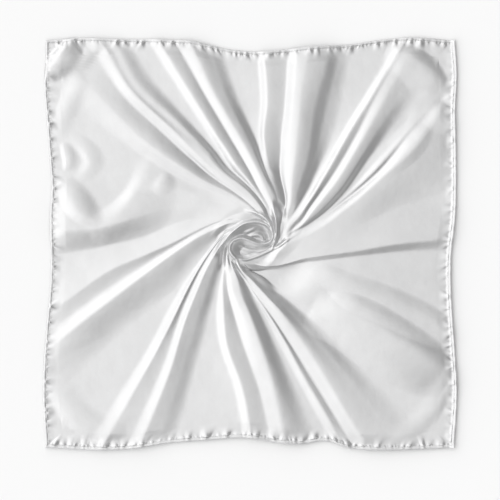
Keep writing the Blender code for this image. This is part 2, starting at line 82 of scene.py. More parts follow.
# Lines along which the laid cloth crests, dips or bends, counter-clockwise from the east: for each
# the bearing in degrees and the height in mm at each reach in STATIONS.
STATIONS = (52, 72, 100, 143, 200, 272, 345)
LINE_COLUMNS = ("name", "sharpness", "bearings", "heights")
LINE_ROWS = (
    ("east_under", 0.4, (1.5, 5.6, 6, 6, 6, 5, 4), (2.4, 2.2, 3.6, 4.2, 2.8, 1, 0.6)),
    ("east_edge", 0.4, (4.6, 9, 9.6, 9.6, 9.6, 9, 9), (8.2, 8, 6.9, 6.2, 5.8, 3.4, 1.4)),
    ("east_back", 0.6, (24, 22, 21, 22, 23, 22, 22), (8.4, 8, 7, 5.9, 3, 0.5, 0.2)),
    ("east_top", 0.3, (40, 34, 32, 33.4, 35.8, 37.6, 41.4), (8.8, 8.2, 7.2, 6.2, 6.2, 5, 0.6)),
    ("east_foot", 1.1, (47.4, 43, 39.4, 38.4, 38.6, 41.8, 43.6), (7.6, 6.2, 3.4, 1.2, 1.8, 0.8, 0)),
    ("north_east_line", 0.6, (50, 43.6, 39.9, 39.4, 40.3, 42.6, 44), (7.3, 6.2, 3.5, 1.8, 3.2, 1, 0)),
    ("north_east_foot", 1, (51, 44.2, 40.4, 40.4, 42.7, 43.8, 44.6), (7.2, 6.1, 2.8, 1.4, 1.2, 0.6, 0)),
    ("north_east_start", 0.3, (52, 45, 41, 41.4, 44.6, 46.8, 47.6), (7.1, 6, 2.8, 1.6, 1.1, 0.5, 0.1)),
    ("north_east_bank", 0.4, (52.8, 45.8, 43.6, 44.4, 48.4, 51.4, 51.8), (7, 6.4, 5.8, 5, 4.6, 3.4, 0.6)),
    ("north_east_low", 0.5, (54, 47.6, 48.2, 49, 51.7, 54.2, 55.8), (6.9, 7.2, 6.8, 6.2, 5.8, 4.6, 1.8)),
    ("north_east_gap", 1, (57, 51, 52, 52.8, 54.6, 56.9, 57.6), (6.5, 5.8, 4.2, 3.4, 3.2, 3.2, 1.7)),
    ("north_east_rib", 0.6, (61, 56.5, 56, 56.8, 58, 58, 58.2), (6.3, 7.2, 6.2, 5.2, 4.9, 3.8, 2)),
    ("rib_foot", 1.1, (66, 62.5, 59.6, 60, 60.6, 60.3, 60), (6.3, 5.8, 3.4, 1.8, 1.2, 0.8, 0.4)),
    ("broad_start", 0.3, (66.6, 63.4, 61.4, 62, 63.8, 67.5, 69), (6.3, 5.6, 2.6, 1, 0.5, 0.4, 0.3)),
    ("broad_shoulder", 0.3, (68, 65, 65.4, 66, 69, 71, 72.4), (6.4, 6, 4.2, 2.9, 2.2, 2, 1)),
    ("broad_slope", 0.3, (70, 68, 70, 71, 74.6, 75, 76), (6.6, 6.4, 6, 5.8, 6.4, 5.9, 4.2)),
    ("north_east_broad", 0.3, (72, 71, 75.5, 78, 80.2, 80.6, 80.6), (6.7, 6.8, 7, 7.8, 8.7, 8.1, 6)),
    ("broad_brow", 0.4, (75, 74, 80, 82.2, 83.2, 83.6, 83.8), (6.6, 6.2, 5.8, 6.5, 7.7, 7.2, 5.4)),
    ("north_dip", 1.1, (78, 77, 85.4, 87.2, 86.5, 86.6, 87.2), (6, 4, 1.8, 2, 3.1, 2.6, 2.4)),
    ("north_right", 0.6, (84, 88, 94.5, 97, 93.9, 93.8, 93.8), (8, 7.4, 5.2, 5, 5, 4.6, 3.4)),
    ("right_foot", 0.8, (85, 89, 97, 99.4, 96.7, 96, 96.4), (8.2, 7.6, 5.3, 2.4, 1.3, 0.7, 0.6)),
    ("middle_start", 0.3, (86, 90, 97.6, 101, 104.6, 105.6, 106), (8.4, 8, 5.2, 1.8, 0.6, 0.4, 0.4)),
    ("middle_back", 0.3, (88, 95.4, 101, 105.6, 109.6, 109.8, 110), (9.6, 9.2, 7.2, 5, 3.8, 3, 2.4)),
    ("north_middle", 0.4, (91, 99.5, 105, 109.4, 113, 113.8, 114), (10.4, 9.6, 7.8, 6, 5.2, 5.3, 4)),
    ("middle_foot", 1.3, (101, 108.6, 111.6, 114.4, 116.3, 117.2, 117.8),
     (7.8, 6.7, 4.4, 3, 2.3, 2.2, 1.6)),
    ("north_thin", 0.4, (108, 113.5, 118.8, 120.7, 121.1, 121.3, 121.2),
     (7.8, 7.6, 6.4, 5.4, 4.9, 4.6, 3.6)),
    ("thin_foot", 1.3, (109, 116.5, 124.2, 124.6, 124.3, 124, 123.8), (7.8, 6, 2.6, 1.5, 1.2, 0.9, 0.6)),
    ("left_start", 0.3, (109.6, 117.4, 124.8, 126.2, 127.6, 128.6, 127), (7.9, 6, 2.6, 1.3, 0.9, 0.6, 0.5)),
    ("left_back", 0.5, (114, 120.8, 129, 130.2, 132.2, 133.8, 130.4), (9.4, 7.8, 6, 4.8, 3.9, 3.7, 2.6)),
    ("north_left", 0.5, (119.6, 124.6, 131.4, 133, 133.6, 134.6, 131.4),
     (10.6, 8.8, 6.7, 5.6, 4, 3.7, 2.6)),
    ("left_step", 0.8, (125, 130, 134.6, 135.9, 136, 136.2, 133), (10.2, 8.4, 6.4, 5.7, 5, 4.6, 3.4)),
    ("left_foot", 1.2, (134, 137, 140, 140, 139.2, 138.6, 135.8), (8.6, 5.9, 2.8, 1.4, 1.3, 1.2, 0.9)),
    ("north_west", 0.3, (139, 142.6, 146.8, 147.6, 146.8, 144.2, 142), (9.2, 7.2, 5.6, 5.4, 5, 3.8, 1.8)),
    ("north_west_foot", 0.2, (148, 150, 152.6, 153.6, 152.6, 150.4, 148.5),
     (8.6, 5.5, 2.6, 1.2, 0.8, 0.6, 0.4)),
    ("west_flat", 0.5, (158, 160, 161, 162, 163, 164, 164), (8.4, 4.6, 3.2, 2.4, 1, 0.6, 0.4)),
    ("west_bulge", 0.4, (168, 168, 171, 177.4, 183.6, 184.4, 184.6), (8, 5, 3.4, 3.3, 5.8, 7.4, 4.8)),
    ("west_dip", 0.8, (180, 181, 184, 190.4, 191.8, 191.6, 191.6), (7.8, 4.6, 2.6, 1.5, 0.8, 0.5, 0.5)),
    ("west_upper", 1.1, (189.5, 194.4, 199, 200.8, 201.6, 205.2, 207), (8.2, 6.9, 5.4, 4.6, 4.2, 3.4, 2.4)),
    ("upper_foot", 0.3, (191.5, 197.6, 202.2, 205.4, 207.4, 209.6, 211.6),
     (7.8, 6.3, 4.4, 2.8, 2, 1.8, 1.6)),
    ("west_lower", 0.8, (203, 204, 206.8, 209.8, 212, 213.5, 214.8), (10, 9, 7.2, 6.2, 5.9, 5.7, 2)),
    ("lower_foot", 0.9, (226, 227.6, 228.6, 228, 225.2, 224.6, 224.2), (6, 4.6, 2.2, 0.6, 0.3, 0.2, 0.2)),
    ("south_west_start", 0.2, (226.8, 228.4, 229.8, 232.6, 235.4, 236.2, 236.4),
     (6, 4.6, 2.2, 0.8, 0.5, 0.4, 0.3)),
    ("south_west_thin", 1.3, (231, 232.4, 234.9, 237.8, 239.4, 239.8, 240),
     (8.2, 7, 5.4, 4.6, 4.2, 3.8, 2.8)),
    ("south_west_gap", 0.3, (234.6, 235.6, 238, 241, 244, 244.9, 244.9), (7.4, 5.8, 3.8, 2.9, 2.7, 2.4, 2)),
    ("south_west", 0.9, (242, 241.6, 243, 244.7, 247.4, 248, 247.8), (10, 8.4, 6.8, 5.8, 5.2, 4.8, 3.8)),
    ("south_west_back", 0.3, (251, 250, 250.6, 251, 251.6, 251.6, 251.2),
     (8.2, 6.6, 4.9, 3.6, 3.1, 3, 2.4)),
    ("south_west_foot", 0.4, (266, 262, 260, 258.4, 257.2, 256.6, 256), (4.6, 3.4, 2, 0.9, 0.3, 0.2, 0.3)),
    ("south_left_start", 0.2, (266.8, 263, 262, 265.4, 272.4, 275, 275.6), (4.6, 3.4, 2, 1.2, 1.9, 1.7, 1)),
    ("south_left", 0.7, (268.6, 267.6, 269, 270.8, 276.5, 278, 278.6), (5, 5.1, 4.6, 4.5, 5.1, 4.5, 3.2)),
    ("south_left_foot", 1, (272, 273.4, 277, 280.2, 283.1, 283.3, 283.6),
     (5.4, 4.4, 2.7, 2, 2.7, 2.4, 1.7)),
    ("south_middle_back", 0.7, (282, 281, 285.4, 286.2, 286.6, 286, 285.8),
     (7.8, 7.6, 6.6, 5.3, 4.6, 4, 3)),
    ("south_middle", 0.3, (292, 288.6, 289.8, 289.8, 289.4, 287.8, 287), (9, 8.4, 7.2, 6.2, 5.8, 5, 3.8)),
    ("south_middle_foot", 0.6, (303.5, 301.6, 300, 298.8, 297.7, 296.6, 295.8),
     (4.8, 3.8, 2.2, 1, 0.6, 0.3, 0.4)),
    ("south_thin_start", 0.8, (303.8, 302.6, 301.4, 299.6, 298.9, 298.6, 298.4),
     (4.8, 3.9, 2.2, 1, 0.6, 0.3, 0.4)),
    ("south_thin", 0.9, (304, 303.8, 304, 303.3, 301.8, 301.4, 301), (4.9, 4.6, 4.1, 3.8, 3.5, 3.3, 2.4)),
    ("south_thin_foot", 1.2, (304.6, 305.2, 305.8, 305.4, 304.4, 303.6, 303),
     (4.9, 4.2, 3.2, 2.2, 1.7, 1.5, 1.2)),
    ("south_right_back", 0.7, (309, 310.4, 310.8, 308.8, 307, 305.6, 305),
     (7.2, 6.7, 6.2, 5.1, 4.2, 3.6, 2.8)),
    ("south_right", 0.3, (314, 313.6, 313.4, 311.4, 309.4, 307.2, 306.4), (8.4, 7.6, 6.8, 6, 6.2, 5.5, 4)),
    ("south_right_slope", 0.3, (321, 319, 318.6, 317.2, 315.4, 313.6, 312.8),
     (6.2, 4.8, 3.8, 3.3, 3.6, 3.3, 2.4)),
    ("south_right_foot", 0.3, (333, 327, 325.4, 323.4, 321.2, 319.4, 318.6),
     (3, 1.4, 0.9, 0.5, 0.4, 0.5, 0.6)),
    ("rim_start", 0.2, (334, 330, 330, 329, 328, 327, 326), (1, 0.6, 2.6, 2.6, 1.6, 1.2, 0.8)),
    ("rim", 0.2, (338, 337, 337, 337, 337, 336, 335), (0.6, 0.4, 3.6, 4, 2.7, 1.4, 0.8)),
    ("rim_back", 0.2, (344, 345, 346, 346, 346, 345, 344), (0.6, 0.4, 4.6, 5.2, 3.8, 1.5, 0.8)),
    ("rim_end", 0.2, (352, 354, 356, 356, 356, 356, 355), (0.8, 0.8, 4.6, 5.2, 3.8, 1.7, 0.8)),
)
FOLD_LINES = [dict(zip(LINE_COLUMNS, row)) for row in LINE_ROWS]

# Columns of the tables of ridges, crests and dips: a point's place in mm from the twirl's centre,
# the rise there in mm, and the widths of the left and right flanks in mm, seen along the row.
X, Y, RISE, LEFT, RIGHT = range(5)

# Soft ridges of the outer cloth.
RIDGE_ROWS = {
    "west_arch": (
        (-132, 124, 0, 30, 16), (-141, 110, 0.7, 40, 17), (-149, 96, 1.6, 50, 18),
        (-157, 79, 2.9, 56, 18), (-168, 61, 4.2, 60, 18), (-186, 41, 4, 50, 20),
        (-208, 26, 2.4, 36, 20), (-232, 14, 0, 26, 20),
    ),
    "west_inner": (
        (-116, 100, 0, 14, 8), (-122, 91, 1.5, 19, 10), (-129, 81, 1.6, 19, 11), (-138, 71, 0, 14, 9),
    ),
    "west_hollow": (
        (-268, 94, 0, 14, 12), (-262, 77, 2, 22, 16), (-255, 59, 3.8, 29, 18), (-246, 45, 4.2, 30, 16),
        (-232, 34, 2.8, 26, 12), (-214, 27, 0, 16, 8),
    ),
    "west_spot": (
        (-270, 144, 0, 8, 6), (-265, 131, 2, 14, 8), (-262, 116, 2.4, 15, 8), (-264, 101, 0, 10, 6),
    ),
    "west_loop": (
        (-262, 148, 0, 10, 8), (-246, 140, 1.2, 16, 9), (-235, 127, 2, 20, 9), (-231, 113, 1.8, 20, 9),
        (-239, 99, 1, 14, 8), (-252, 91, 0, 10, 6),
    ),
    "west_streak": (
        (-240, 244, 0, 14, 14), (-249, 224, 1.4, 16, 16), (-264, 188, 1.8, 16, 16), (-276, 150, 0, 12, 12),
    ),
    "north_west_corner": (
        (-246, 292, 0, 16, 8), (-257, 283, 5, 24, 12), (-272, 266, 8.2, 29, 14), (-285, 248, 5.6, 25, 12),
        (-292, 230, 0, 14, 8),
    ),
    "north_west_ripple": (
        (-216, 284, 0, 8, 16), (-227, 273, 1.6, 10, 20), (-238, 260, 2, 11, 22), (-249, 246, 1.4, 12, 22),
        (-258, 232, 0, 12, 18),
    ),
    "north_east_corner": (
        (194, 276, 0, 12, 20), (212, 269, 3, 18, 28), (238, 256, 4.6, 22, 34), (260, 234, 4.2, 22, 34),
        (278, 208, 0, 14, 22),
    ),
    "north_east_wedge": (
        (214, 216, 0, 14, 18), (240, 203, 1, 18, 26), (264, 188, 2, 19, 26), (286, 173, 1.8, 16, 22),
    ),
    "east_loop_end": (
        (168, 100, 0, 12, 24), (192, 119, 1.6, 18, 30), (216, 139, 2.6, 20, 32), (232, 157, 2.6, 20, 30),
        (236, 174, 1.4, 15, 22), (228, 188, 0, 10, 14),
    ),
    "south_west_corner": (
        (-286, -196, 0, 18, 12), (-273, -222, 2.4, 26, 16), (-252, -252, 3.4, 30, 18),
        (-218, -270, 3, 26, 16), (-178, -272, 0, 18, 12),
    ),
    "south_east_corner": (
        (200, -282, 0, 12, 12), (232, -266, 1.2, 16, 16), (258, -242, 1.6, 18, 16), (278, -208, 1, 16, 14),
        (290, -180, 0, 12, 12),
    ),
    "south_east_rib": (
        (90, -88, 0, 24, 36), (106, -97, 3, 28, 42), (126, -102, 6, 32, 48), (148, -109, 8.4, 35, 52),
        (174, -123, 10, 37, 56), (200, -139, 10.4, 38, 58), (226, -155, 9.8, 38, 58),
        (252, -172, 7.8, 35, 54), (274, -187, 4.4, 27, 44), (287, -196, 2, 20, 34),
    ),
    "east_rib": (
        (102, -42, 0, 14, 14), (120, -55, 1.4, 20, 20), (146, -71, 2.8, 26, 28), (197, -89, 3.7, 27, 32),
        (246, -112, 3.6, 27, 32), (279, -131, 2.4, 21, 26), (292, -140, 1, 15, 18),
    ),
}

# Crests that curl up in the twirl.
CREST_ROWS = {
    "spiral": (
        (-52, -20, 0, 6, 6), (-44, -8, 2, 6, 7), (-37, 1, 3.4, 6, 8), (-30, 10, 4.4, 6, 9),
        (-20, 19, 5, 6, 11), (-10, 25.5, 5, 5.4, 13), (0, 28, 5, 5, 15), (10, 28.5, 5, 4.6, 15),
        (20, 26, 5, 4.4, 12), (27, 21, 5, 4.2, 9), (31, 14, 5, 4.2, 7), (31.5, 7, 5, 4.2, 6),
        (28.5, 1, 4.6, 4.4, 5), (23, -2, 4.2, 5, 5), (16, -3, 4, 6, 5), (8, -1.5, 4.4, 7, 5.4),
        (-1, 2, 4.8, 9, 6), (-10, 5, 5, 12, 6), (-18, 4.5, 5, 15, 5.4), (-25, 1, 5, 17, 5),
        (-29, -5, 5, 17, 4.6), (-29.5, -12, 5, 15, 4.6), (-26, -18.5, 4.8, 12, 4.6),
        (-20, -23, 4.2, 8, 5), (-12, -25.3, 3.4, 7, 9), (-4, -25, 2.6, 7, 16), (6, -22, 2.2, 7, 20),
        (16, -18, 2.2, 7, 22), (26, -13.4, 2.2, 6, 22), (34, -9.4, 2, 5, 22), (42, -5, 1.8, 5, 20),
        (50, 0.8, 1.4, 5, 18), (60, 7.6, 0.8, 5, 14), (74, 16, 0, 5, 12),
    ),
    "upper_inner": (
        (-4, 7, 0, 3, 3), (2, 9.4, 1.4, 3.4, 3.4), (8, 10.4, 2, 3.6, 4), (14, 9.4, 2, 3.6, 4),
        (18, 5.6, 1.6, 3.4, 3.4), (20, 1, 0, 3, 3),
    ),
    "upper_crease": (
        (-15, 11, 0, 3, 3), (-9, 12.6, 0.8, 3.4, 3), (-3, 14.6, 1, 3.4, 3), (3, 17.4, 0.6, 3, 3),
        (7, 20, 0, 3, 3),
    ),
    "lower_inner": (
        (-16, -6, 0, 3, 3), (-12, -8, 1.2, 3.6, 3.4), (-5, -10.6, 2, 4, 4), (3, -12.6, 2.2, 4, 4),
        (10, -12.8, 2.2, 4, 4), (18, -11.4, 1.8, 4, 3.6), (26, -8.6, 1, 3, 3), (30, -7, 0, 3, 3),
    ),
    "lower_crease": (
        (-15, -13, 0, 3, 3), (-10, -15, 0.6, 3, 3), (-4, -17, 0.8, 3, 3), (1, -18.4, 0, 3, 3),
    ),
    "right_hug": (
        (29, -11, 0, 4, 4), (31.6, -6, 2, 4, 4), (34.4, 1, 3.2, 4, 5), (36.6, 10, 3.8, 4, 6),
        (37, 20, 4, 4.4, 6), (36.4, 29, 3.8, 5, 6), (34.4, 38, 2.6, 6, 6), (31, 48, 0, 6, 6),
    ),
    "second": (
        (-8, 46, 0, 5, 5), (2, 43.6, 2, 5, 5), (11, 40.4, 3.2, 5, 5), (18, 36, 3.8, 5, 4.6),
        (25, 29.6, 3.8, 4.4, 4), (30, 23, 3, 4, 3), (33.4, 15, 0, 3, 3),
    ),
    "upper_left": (
        (-54, 12, 0, 5, 12), (-45, 21.6, 0.8, 5, 14), (-35, 28.4, 1.3, 5, 14), (-24, 33.6, 1.4, 5, 13),
        (-12, 37.6, 1.3, 5, 11), (0, 40.6, 0, 4, 8),
    ),
    "left": (
        (-46, 2, 0, 5, 5), (-40, 9, 2, 5, 6), (-34, 14, 2.6, 4, 5), (-27, 18, 0, 3, 4),
    ),
    "below_first": (
        (-31, -8, 0, 4, 4), (-33.4, -14, 2, 4, 5), (-34.4, -22, 3, 4, 6), (-33, -31, 2.4, 4, 6),
        (-30.4, -41, 0, 5, 6),
    ),
    "below_second": (
        (-29, -14, 0, 4, 4), (-27, -19, 1.8, 4, 4), (-22.4, -26, 3, 5, 5), (-17, -33, 3.4, 6, 5),
        (-12.4, -41, 2, 6, 5), (-8, -50, 0, 6, 5),
    ),
    "east_tip": (
        (-15, -27, 0, 5, 3), (-11, -31.4, 2, 8, 2.8), (-5, -36, 3, 13, 2.6), (3, -38.6, 3, 15, 2.6),
        (12, -38.8, 2.4, 15, 2.6), (22, -37.6, 1.4, 14, 2.6), (32, -36.4, 0.6, 12, 3),
        (42, -35, 0, 10, 3),
    ),
    "right_thin": (
        (49, -4, 0, 5, 5), (50.4, 4, 0.8, 5, 6), (51.6, 12, 1.4, 6, 7), (54, 21, 1.4, 6, 8),
        (59, 30, 1, 6, 8), (67, 38, 0, 6, 8),
    ),
}
# A narrow bead follows each of these crests: its rise in mm, at most this share of the crest's own,
# and its width in mm.
BEADED = ("spiral", "right_hug", "second")
BEAD_RISE = 2.1
BEAD_SHARE = 0.7
BEAD_WIDTH = 2.7

# Dips in the twirl, whose rise counts downwards.
DIP_ROWS = {
    "upper_lobe": (
        (-13, 19, 0, 5, 6), (-3, 22.6, 1.4, 4.6, 8), (8, 23.8, 2.4, 4.4, 11), (18, 21.6, 2.8, 4.2, 12),
        (25, 16.4, 2.8, 4, 12), (27, 9.4, 2.2, 4, 9), (24.4, 4, 0.8, 3, 6), (19, 1.6, 0, 3, 3),
    ),
    "right_pocket": (
        (36, 60, 0, 5, 5), (39, 53, 1.4, 7, 8), (43, 46, 3, 8, 8), (46, 38, 2.4, 7, 7), (46.6, 28, 1.2, 6, 5),
        (45, 18, 0, 4, 4),
    ),
    "below_pocket": (
        (-33, 4, 0, 4, 4), (-36.4, -6, 1.4, 4, 4), (-38.4, -16, 2.2, 4, 5), (-40, -28, 2, 5, 5),
        (-42, -40, 0, 6, 6),
    ),
}
HEIGHT_SCALE = 1.55          # by which the folds stand higher than their table once clear of the twirl
CLEAR_REACH = (50.0, 115.0)  # where that sets in, mm from the centre
SOFTENING = ((-0.9, 0.2), (-0.32, 0.3), (0.32, 0.3), (0.9, 0.2))   # degrees to the side, share
SOFTENING_REACH = 90.0       # beyond it the softening keeps its width, mm
FLANK_POWER = 1.5            # of the round section that crests, ridges and dips share
BALANCE = 3.0                # lines lose their sharpness where the cloth is nearly flat on one side
CURLING_STEPS = 5            # straight pieces between two points of a crest
RIDGE_STEPS = 10
HOLLOW = 7.0                 # height of the cloth inside the twirl, mm
HOLLOW_FALL = 0.075          # its slope to the right, and as much towards the front
HOLLOW_REACH = (30.0, 43.0)  # where the outer cloth passes into it, mm from the centre

# Rows of the border from the panel out to the edge: the distance in from the edge and the lift
# over the cloth, both in mm.  The first margin row is tucked under the panel.
MARGIN_ROWS = ((24.4, -0.06), (23.3, 0), (22, 0), (20.6, 0), (19.2, 0), (17.8, 0), (16.4, 0), (15, 0),
               (13.6, 0), (12.3, 0), (11, 0), (9.8, 0), (8.7, 0), (7.7, 0), (6.8, 0), (6, 0), (5.4, 0.05))
HEM_ROWS = ((5.0, 0.12), (4.7, 0.05), (4.4, 0), (4.1, 0.12), (3.7, 0.36), (3.1, 0.6), (2.3, 0.72),
            (1.5, 0.66), (0.8, 0.46), (0.3, 0.16), (0, -0.3))

# Puckers along each side's stitches, in two families: the gap between them, and the least and most
# of their length inward, rise and half width, all in mm.
PUCKER_SIDES = ("south", "east", "north", "west")
PUCKER_COLUMNS = ("family", "gap", "length", "rise", "half_width")
PUCKER_ROWS = (
    ("fine", 5.4, (3.5, 9.0), (0.15, 0.8), (1.3, 2.7)),
    ("broad", 14.0, (9.0, 18.0), (0.5, 2.4), (3.5, 7.0)),
)
PUCKERS = [dict(zip(PUCKER_COLUMNS, row)) for row in PUCKER_ROWS]
PUCKER_SEED = 41
PUCKER_SCATTER = 0.4         # share of the gap by which a pucker is out of its place, at most
PUCKER_LEAN = 0.4            # sideways for each mm inward, at most
PUCKER_FADE = 1.5            # power with which a pucker dies down inward
HEM_PUCKER = 0.5             # share of a pucker's rise on the hem itself
CORNER_CALM_WIDTH = 6.0      # mm from a corner's mitre over which the puckers die down

# How far the edge of each side stands off the surface, in mm, and the width of the rise.
EDGE_LIFT = {"south": 3.2, "east": 3.4, "north": 0.8, "west": 0.5}
EDGE_LIFT_WIDTH = 8.0
EDGE_CALM = 0.45             # share by which the folds die down towards the edge
EDGE_CALM_WIDTH = 26.0

# Longer gathers placed one by one along each side: the place, the length inward, the rise and half
# the width in mm, and the lean.
GATHER_ROWS = {
    "south": (
        (-283, 16, 2.6, 5, 0.3), (-262, 14, 1.6, 4, 0.2), (-237, 12, 1.4, 3.4, 0), (-211, 18, 3, 7, 0.1),
        (-183, 14, 2, 4.5, 0.1), (-158, 16, 2.2, 5, -0.1), (-90, 14, 1.8, 4.4, 0.1), (-64, 18, 3.4, 8, 0.15),
        (-34, 15, 1.6, 6, 0.4), (-8, 12, 1.4, 4, 0), (33, 15, 2.2, 5, -0.1), (96, 13, 2, 5, -0.2),
        (123, 14, 2, 5, -0.3), (142, 12, 1.6, 4, -0.3), (232, 14, 1.2, 7, 0.3),
    ),
    "east": (
        (-266, 12, 1.6, 5, 0.5), (-246, 14, 1.8, 5, 0.4), (-228, 12, 1.6, 5, 0.4), (-200, 14, 1.4, 6, 0.2),
        (-172, 14, 1.6, 5, 0.3), (-119, 12, 1.4, 5, 0.3), (-76, 14, 1.4, 5, 0.2), (-20, 14, 1.8, 7, 0.2),
        (64, 12, 1.2, 5, 0), (149, 12, 1.2, 5, 0), (193, 14, 1.8, 6, 0.2),
    ),
    "north": (
        (-246, 12, 1.2, 4, 0.2), (-194, 13, 1.8, 5, -0.2), (-158, 10, 1.2, 4, -0.2), (-130, 12, 1.8, 4, 0.2),
        (-116, 14, 1.8, 5, -0.3), (-22, 14, 1.8, 4, 0), (-6, 14, 2, 4, 0.2), (8, 12, 1.6, 4, 0.2),
        (25, 10, 1.4, 4, 0), (232, 14, 1.6, 5, -0.2), (246, 14, 1.6, 5, -0.3),
    ),
    "west": (
        (-262, 14, 2, 5, 0.2), (-241, 16, 2.4, 6, 0.1), (-214, 12, 1.4, 4, 0.1), (-200, 15, 2.4, 5, 0),
        (-168, 14, 1.8, 5, -0.1), (-152, 12, 1.6, 3.5, 0), (-141, 14, 2.4, 5, 0.1), (-90, 15, 2, 6, 0.2),
        (-40, 10, 1, 4, -0.2), (-26, 10, 1.2, 4, 0.2), (82, 12, 1.4, 5, 0), (125, 12, 1.6, 5, 0.2),
        (175, 12, 1.6, 4, -0.3), (243, 14, 1.4, 5, -0.2),
    ),
}

STITCH_PITCH = 2.6           # in columns of the border, as the next two
STITCH_LENGTH = 1.9
STITCH_END = 7               # from a corner to the first stitch
STITCH_LIFT = 0.05           # over the hem, mm
THREAD_RADIUS = 0.22
THREAD_SIDES = 6
# Sections along a stitch: the share of its length, of the radius, and the lift in radii.
THREAD_SECTIONS = ((0, 0.3, -0.9), (0.18, 0.9, 0.1), (0.5, 1, 0.5), (0.82, 0.9, 0.1), (1, 0.3, -0.9))

# -------- looks, light and camera
# The two satins: the dark and the light tone, the range of the roughness, and how strongly the
# weave shows.
SATIN_LOOKS = {
    "satin": ((0.542, 0.542, 0.544), (0.566, 0.566, 0.568), (0.32, 0.37), 0.25),
    "hem_satin": ((0.524, 0.524, 0.526), (0.559, 0.559, 0.561), (0.34, 0.42), 0.3),
}
SATIN_SHADER = {"Metallic": 0.7, "Specular IOR Level": 0.5, "Sheen Weight": 0.06, "Sheen Roughness": 0.4}
NOISE_RANGE = (0.3, 0.7)     # where nearly all of a noise texture's values lie
TONE_NOISE = (0.035, 3)      # size in m and detail of the uneven tone, as for the next two
GLOSS_NOISE = (0.012, 4)
RUMPLE_NOISE = (0.022, 2)
RUMPLE_BUMP = (0.0016, 0.3)  # depth in m and strength
WARP_PITCH = 0.00045         # m
WEFT_PITCH = 0.0006
YARN_DEPTH = 0.00004
YARN_WAVER = {"Distortion": 0.6, "Detail": 1.0}

THREAD_TONES = ((0.5, 0.5, 0.5), (0.68, 0.68, 0.68))
THREAD_NOISE = (0.004, 2)
THREAD_SHADER = {"Roughness": 0.5, "Specular IOR Level": 0.4, "Sheen Weight": 0.1}
TWIST_PITCH = 0.0004
TWIST_BUMP = (0.00005, 0.5)

FLOOR_HALF = 3.0             # m
FLOOR_DROP = 0.0002          # under the cloth, so that the two never share a plane
FLOOR_SHADER = {"Base Color": (0.78, 0.78, 0.78, 1), "Roughness": 0.9, "Specular IOR Level": 0.1}

# The room's light is an even dome with soft glows in it, seen in the satin as its sheen: the
# azimuth and elevation of each, the angles from there at which it starts and is full, in degrees,
# and its strength.  The last one takes light away from all of the dome but its foot.
GLOWS = (
    (108, 24, 46, 20, 1.28),
    (167, 20, 50, 20, 1.05),
    (229, 24, 48, 20, 1.28),
    (167, 50, 40, 6, 0.66),
    (165, 88, 45, 6, 1.2),
    (0, 90, 88, 62, -0.85),
)
DOME_FLOOR = 1.07            # strength of the dome between the glows

CAMERA_LENS = 120            # mm
CAMERA_SENSOR = 36
CAMERA_PLACE = (0.0, -0.0093, 2.3915)   # over the middle of the scarf, looking straight down, m


# -------- shape of the laid cloth
def cubic(part, span, first, last, leaving, reaching):
    """Cubic curve read part of the way along a span, from its two end values and slopes."""
    return ((2 * part**3 - 3 * part**2 + 1) * first + (3 * part**2 - 2 * part**3) * last
            + (part**3 - 2 * part**2 + part) * span * leaving
            + (part**3 - part**2) * span * reaching)


def curve_weights(stations, places):
    """Weights with which a smooth curve through values at rising stations is read at places."""
    stations = np.asarray(stations, float)
    places = np.clip(places, stations[0], stations[-1])
    values = np.eye(len(stations))
    slopes = np.array([np.gradient(row, stations) for row in values])
    left = np.clip(np.searchsorted(stations, places) - 1, 0, len(stations) - 2)
    span = stations[left + 1] - stations[left]
    part = (places - stations[left]) / span
    return cubic(part, span, values[:, left], values[:, left + 1], slopes[:, left], slopes[:, left + 1])


def smooth_through(stations, values, places):
    """Smooth curve through values at rising stations, read at places; flat past the ends."""
    places = np.asarray(places, float)
    weights = curve_weights(stations, places.ravel())
    return (np.asarray(values, float) @ weights).reshape(places.shape)


def drawn_in(side, along):
    """How far the outline is drawn in, in mm, at places along one side."""
    table = np.array(side, float)
    return smooth_through(table[:, 0], table[:, 1], along)


def laid_point(x, y, inset):
    """Move a point of the full square to its place in the laid outline, less an inset, in mm."""
    share_x = x / HALF_X
    share_y = y / HALF_Y
    east = HALF_X - drawn_in(EAST_DRAWN_IN, y) - inset
    west = HALF_X - drawn_in(WEST_DRAWN_IN, y) - inset
    north = HALF_Y - drawn_in(NORTH_DRAWN_IN, x) - inset
    south = HALF_Y - drawn_in(SOUTH_DRAWN_IN, x) - inset
    return (0.5 * (1 + share_x) * east - 0.5 * (1 - share_x) * west,
            0.5 * (1 + share_y) * north - 0.5 * (1 - share_y) * south)


def edge_distances(x, y):
    """Distance in mm from each side of the laid outline, by the name of the side."""
    return {
        "south": HALF_Y - drawn_in(SOUTH_DRAWN_IN, x) + y,
        "east": HALF_X - drawn_in(EAST_DRAWN_IN, y) - x,
        "north": HALF_Y - drawn_in(NORTH_DRAWN_IN, x) - y,
        "west": HALF_X - drawn_in(WEST_DRAWN_IN, y) + x,
    }


def wrap_angle(reach):
    """Degrees between a tangent line's bearing and the polar angle of its point at a reach."""
    knee = WRAP_KNEE * TANGENT_RADIUS
    outside = np.degrees(np.arcsin(TANGENT_RADIUS / np.maximum(reach, knee)))
    turn = math.degrees(TANGENT_RADIUS / (knee * math.sqrt(knee**2 - TANGENT_RADIUS**2)))
    return outside + turn * np.maximum(knee - reach, 0)


def smooth_step(low, high, value):
    """Rise smoothly from 0 at the low value to 1 at the high one."""
    share = np.clip((value - low) / (high - low), 0, 1)
    return share**2 * (3 - 2 * share)


